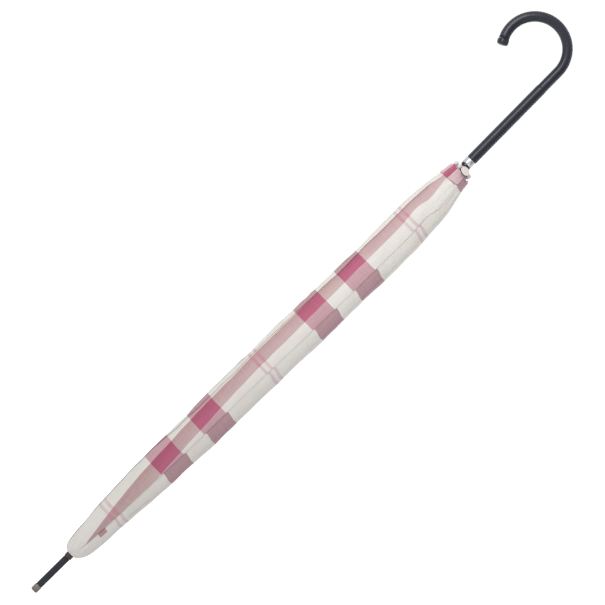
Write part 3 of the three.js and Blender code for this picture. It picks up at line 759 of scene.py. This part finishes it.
# the stud is set in the cloth under the strap's tab, and goes with that pleat as it opens
STUD_Z = 688.5
stud_r = float(radius(np.array(STUD_Z))) + 0.58 * float(relief(np.array(STUD_Z), np.array(SNAP_AZ))) - 0.1
stud_lean = math.atan(0.187)
stud_out = Vector(
    (math.cos(SNAP_AZ) * math.cos(stud_lean), math.sin(SNAP_AZ) * math.cos(stud_lean), math.sin(stud_lean))
)
stud_foot = Vector(
    (float(centre(np.array(STUD_Z))) + stud_r * math.cos(SNAP_AZ), stud_r * math.sin(SNAP_AZ), STUD_Z)
)
stud = lathe(
    "stud",
    rounded([(0, -0.3), (2.4, -0.3), (2.4, 0.2), (1.6, 0.35), (1.5, 0.65), (0, 0.7)], 0.12),
    "dark_metal",
    40,
    Matrix.Translation(stud_foot) @ stud_out.to_track_quat("Z", "Y").to_matrix().to_4x4(),
)
install(stud, "rib_5", "dark_metal", "snap_stud")
flatten_with_rib(stud)

# ------------------------------------------------------------------------ ferrule, shaft
tip = lathe(
    "ferrule_tip",
    rounded(
        [(0, 0), (3.6, 0), (4.5, 0.9), (4.5, 3.0), (4.25, 3.25), (4.5, 3.5), (4.5, 8.3), (3.9, 9), (0, 9)],
        0.3,
    ),
    "ferrule_pewter",
)
install(tip, "umbrella", "ferrule_pewter", "ferrule_tip_cap")
tube = lathe(
    "ferrule_tube",
    rounded([(0, 9.3), (3.8, 9.3), (4.15, 9.8), (4.15, 53.8), (3.8, 54.4), (0, 54.4)], 0.3),
    "dark_metal",
)
install(tube, "umbrella", "dark_metal", "ferrule")
neck = lathe(
    "ferrule_neck",
    rounded(
        [(0, 54.7), (4.4, 54.7), (4.9, 55.3), (4.9, 57.0), (4.6, 57.3), (4.9, 57.6), (4.9, 59.8)]
        + [(4.4, 60.4), (0, 60.4)],
        0.3,
    ),
    "neck_metal",
)
install(neck, "umbrella", "ferrule_pewter", "ferrule_collar")
seat = lathe(
    "collar_seat_ring",
    rounded([(5.05, 701.8), (5.3, 701.8), (6.1, 702.6), (6.1, 704.7), (5.05, 704.7)], 0.25) + [(5.05, 703)],
    "black_plastic",
    closed=True,
)
install(seat, "umbrella", "black_plastic", "collar_seat")
chrome = lathe(
    "collar",
    rounded(
        [(5.05, 707), (5.9, 707), (6.1, 705), (6.5, 705), (6.5, 711.8), (6.1, 712.7), (5.05, 712.7)],
        0.25,
    )
    + [(5.05, 710)],
    "collar_chrome",
    72,
    closed=True,
)
install(chrome, "umbrella", "collar_chrome", "handle_collar")

# ----------------------------------------------------------------------------- handle
GRIP_END = (-2.4, 856.5)
CROOK_R = 37.9
LEAN = math.atan2(2.4, 143.5)
GRIP_LEN = math.hypot(2.4, 143.5)
ARC = np.array([GRIP_END[0] - CROOK_R * math.cos(LEAN), GRIP_END[1] - CROOK_R * math.sin(LEAN)])
SWEEP_LEN = math.radians(203) * CROOK_R
SEAM_S = 116.2


def handle_point(s):
    """(x, z) and heading angle of the handle's centre line at arc length s from its foot."""
    straight = s <= GRIP_LEN
    f = np.clip(s / GRIP_LEN, 0, 1)
    ang = LEAN + np.maximum(0, s - GRIP_LEN) / CROOK_R
    x = np.where(straight, GRIP_END[0] * f, ARC[0] + CROOK_R * np.cos(ang))
    z = np.where(straight, 713 + (GRIP_END[1] - 713) * f, ARC[1] + CROOK_R * np.sin(ang))
    return x, z, ang


def leather_tube(name, s, r, node, bore=5.2):
    """Leather tube along the handle, with a low ridge and groove where its edges are sewn."""
    seam = math.radians(48)
    inside = np.concatenate([r, np.full(len(s), bore)])
    s = np.concatenate([s, s[::-1]])
    x, z, ang = (v[:, None] for v in handle_point(s))
    cols = 72
    phi = (np.arange(cols) * 2 * math.pi / cols)[None, :]
    gap = (phi - seam + math.pi) % (2 * math.pi) - math.pi
    girth = gap * 6.4
    ridge = 0.22 * np.exp(-((girth / 1.5) ** 2)) - 0.3 * np.exp(-((girth / 0.35) ** 2))
    rr = inside[:, None] + np.where(inside[:, None] > bore + 0.3, ridge, 0)
    radial, depth = rr * np.cos(phi), -rr * np.sin(phi)
    px = x + radial * np.cos(ang)
    pz = z + radial * np.sin(ang)
    verts = np.stack([px, depth + 0 * px, pz], axis=-1)
    rows = verts.shape[0]
    idx = np.arange(rows * cols).reshape(rows, cols)
    nxt, side = np.roll(idx, -1, axis=0), np.roll(idx, -1, axis=1)
    faces = np.stack([idx, nxt, np.roll(nxt, -1, axis=1), side], axis=-1).reshape(-1, 4)
    uv = np.stack([girth + 0 * px, s[:, None] + 0 * px], axis=-1).reshape(-1, 2)
    obj = make_mesh(name, verts.reshape(-1, 3), faces, uv, "handle_leather", 50)
    return install(obj, "umbrella", "handle_leather", node)


def eased(length, start_r, r, end_r, steps):
    middle = np.linspace(1.4, length - 1.4, steps)
    s = np.concatenate([[0, 0.25, 0.7], middle, [length - 0.7, length - 0.25, length]])
    prof = np.full(len(s), r)
    prof[:3] = [start_r, start_r + (r - start_r) * 0.75, r]
    prof[-3:] = [r, end_r + (r - end_r) * 0.75, end_r]
    return s, prof


s_grip, r_grip = eased(SEAM_S - 0.15, 6.1, 6.6, 6.4, 70)
leather_tube("grip_leather", s_grip, r_grip, "handle_grip")
s_crook, r_crook = eased(GRIP_LEN + SWEEP_LEN - SEAM_S - 0.15, 6.1, 6.25, 5.9, 120)
leather_tube("crook_leather", s_crook + SEAM_S + 0.15, r_crook, "handle_crook")


def end_matrix(s):
    x, z, ang = (float(v) for v in handle_point(np.array(s)))
    along = Vector((-math.sin(ang), 0, math.cos(ang)))
    side = Vector((math.cos(ang), 0, math.sin(ang)))
    rows = Matrix((side, along.cross(side), along)).transposed().to_4x4()
    return Matrix.Translation((x, 0, z)) @ rows


END = GRIP_LEN + SWEEP_LEN
ring = lathe(
    "end_ring",
    rounded([(0, 0), (6.0, 0), (6.6, 0.4), (6.6, 1.2), (6.2, 1.6), (0, 1.6)], 0.3),
    "handle_leather",
    64,
    end_matrix(END + 0.3),
)
install(ring, "umbrella", "handle_leather", "handle_end_ring")
end_cap = lathe(
    "end_cap",
    rounded([(0, 0), (6.4, 0), (6.9, 0.6), (6.9, 4.2), (6.5, 5.9), (5.0, 7.0), (3.0, 7.4), (0, 7.5)], 0.6),
    "handle_leather",
    64,
    end_matrix(END + 0.3 + 1.6 + 0.6),
)
install(end_cap, "umbrella", "handle_leather", "handle_end_cap")

# --------------------------------------------------------------------------- rib tips
for k in range(1, RIBS + 1):
    a = rib_azimuth(k)
    e = Vector((math.cos(a), math.sin(a), 0))
    flare = 0.10 + 0.17 * max(0.0, math.cos(a))
    along = (Vector((0, 0, 1)) + e * flare * 1.6).normalized()
    turn = along.to_track_quat("Z", "Y").to_matrix().to_4x4()
    foot = e * 9.25 + Vector((0, 0, 690.4))
    cap = lathe(
        f"rib_end_{k}",
        rounded(
            [(0, 0), (1.3, 0), (1.7, 1.6), (1.9, 4.0), (2.6, 5.2), (2.65, 8.2), (1.9, 9.6), (0, 10)],
            0.7,
        ),
        "rib_tips",
        32,
        Matrix.Translation(foot) @ turn,
    )
    install(cap, f"rib_{k}", "rib_tips", f"rib_tip_{k}")

# ------------------------------------------------------------- floor, light and camera
TARGET = Vector((-0.01964, 0.0, 0.4571))
DISTANCE = 3.0
FRAME_WIDTH = 0.7024
RIGHT = Vector((0.70096, 0, 0.7132)).normalized()
UP = Vector((-0.7132, 0, 0.70096)).normalized()
BACK = Vector((0, -1, 0))


def facing(position, target):
    return Matrix.Translation(position) @ (position - target).to_track_quat("Z", "Y").to_matrix().to_4x4()


camera = bpy.data.objects.new("camera", bpy.data.cameras.new("camera"))
bpy.context.scene.collection.objects.link(camera)
axes = Matrix((RIGHT, UP, BACK)).transposed().to_4x4()
camera.matrix_world = Matrix.Translation(TARGET + BACK * DISTANCE) @ axes
camera.data.sensor_fit = "HORIZONTAL"
camera.data.angle = 2 * math.atan(FRAME_WIDTH / 2 / DISTANCE)
camera.data.clip_end = 60
bpy.context.scene.camera = camera


def softbox(name, position, size, power):
    light = bpy.data.lights.new(name, "AREA")
    light.shape = "RECTANGLE"
    light.size, light.size_y = size
    light.energy = power
    obj = bpy.data.objects.new(name, light)
    obj.matrix_world = facing(Vector(position), Vector((0, 0, 0.45)))
    bpy.context.scene.collection.objects.link(obj)


softbox("key", (-0.62, -0.95, 1.0), (0.42, 0.7), 4.4)
softbox("fill", (1.4, -2.4, 0.3), (1.4, 1.4), 2.5)
softbox("rim", (0.6, 1.8, 1.3), (1.2, 1.2), 11)

world = bpy.data.worlds.new("studio")
bpy.context.scene.world = world
world.use_nodes = True
tree = world.node_tree
tree.nodes.clear()
path = tree.nodes.new("ShaderNodeLightPath")
# a white tent, a little dimmer on the right, with one dark panel that metal reflects
split = tree.nodes.new("ShaderNodeSeparateXYZ")
tree.links.new(tree.nodes.new("ShaderNodeTexCoord").outputs["Generated"], split.inputs[0])


def ranged(value, low, high, start, end):
    n = tree.nodes.new("ShaderNodeMapRange")
    tree.links.new(value, n.inputs["Value"])
    for key, number in (("From Min", low), ("From Max", high), ("To Min", start), ("To Max", end)):
        n.inputs[key].default_value = number
    return n.outputs[0]


def combined(op, a, b):
    n = tree.nodes.new("ShaderNodeMath")
    n.operation = op
    tree.links.new(a, n.inputs[0])
    tree.links.new(b, n.inputs[1])
    return n.outputs[0]


tent = ranged(split.outputs[0], -1.0, 1.0, 0.70, 0.67)
panel_left = ranged(split.outputs[0], 0.24, 0.34, 0.0, 1.0)
panel_right = ranged(split.outputs[0], 0.84, 0.9, 1.0, 0.0)
panel = combined("MULTIPLY", panel_left, panel_right)
panel = combined("MULTIPLY", panel, ranged(split.outputs[1], -0.1, 0.0, 1.0, 0.0))
panel = combined("MULTIPLY", panel, ranged(split.outputs[2], 0.3, 0.4, 1.0, 0.0))
panel = combined("MULTIPLY", panel, ranged(split.outputs[2], -0.4, -0.3, 0.0, 1.0))
tent = combined("MULTIPLY", tent, ranged(panel, 0.0, 1.0, 1.0, 0.2))
strength = tree.nodes.new("ShaderNodeMapRange")
tree.links.new(tent, strength.inputs["To Min"])
strength.inputs["To Max"].default_value = 1.05
sky = tree.nodes.new("ShaderNodeBackground")
sky.inputs["Color"].default_value = (1, 1, 1, 1)
out = tree.nodes.new("ShaderNodeOutputWorld")
tree.links.new(path.outputs["Is Camera Ray"], strength.inputs["Value"])
tree.links.new(strength.outputs[0], sky.inputs["Strength"])
tree.links.new(sky.outputs[0], out.inputs["Surface"])

g = Graph("floor_look")
speck = g.noise(g.place(), 6.0, 2.0)
g.put(g.bsdf.inputs["Base Color"], g.mix(speck, (0.9, 0.9, 0.9, 1), (0.93, 0.93, 0.93, 1)))
g.bsdf.inputs["Roughness"].default_value = 0.9
g.bsdf.inputs["Specular IOR Level"].default_value = 0.0
g.bsdf.inputs["Emission Color"].default_value = (1, 1, 1, 1)
glow = g.math("MULTIPLY", g.node("ShaderNodeLightPath").outputs["Is Camera Ray"], 0.7)
g.put(g.bsdf.inputs["Emission Strength"], glow)
mesh = bpy.data.meshes.new("floor")
edge = 25.0
mesh.from_pydata([(-edge, -edge, 0), (edge, -edge, 0), (edge, edge, 0), (-edge, edge, 0)], [], [(0, 1, 2, 3)])
mesh.materials.append(g.mat)
floor = bpy.data.objects.new("floor", mesh)
floor.location.z = -0.0015
bpy.context.scene.collection.objects.link(floor)

bpy.context.scene.view_settings.view_transform = "Standard"
bpy.context.scene.view_settings.look = "None"
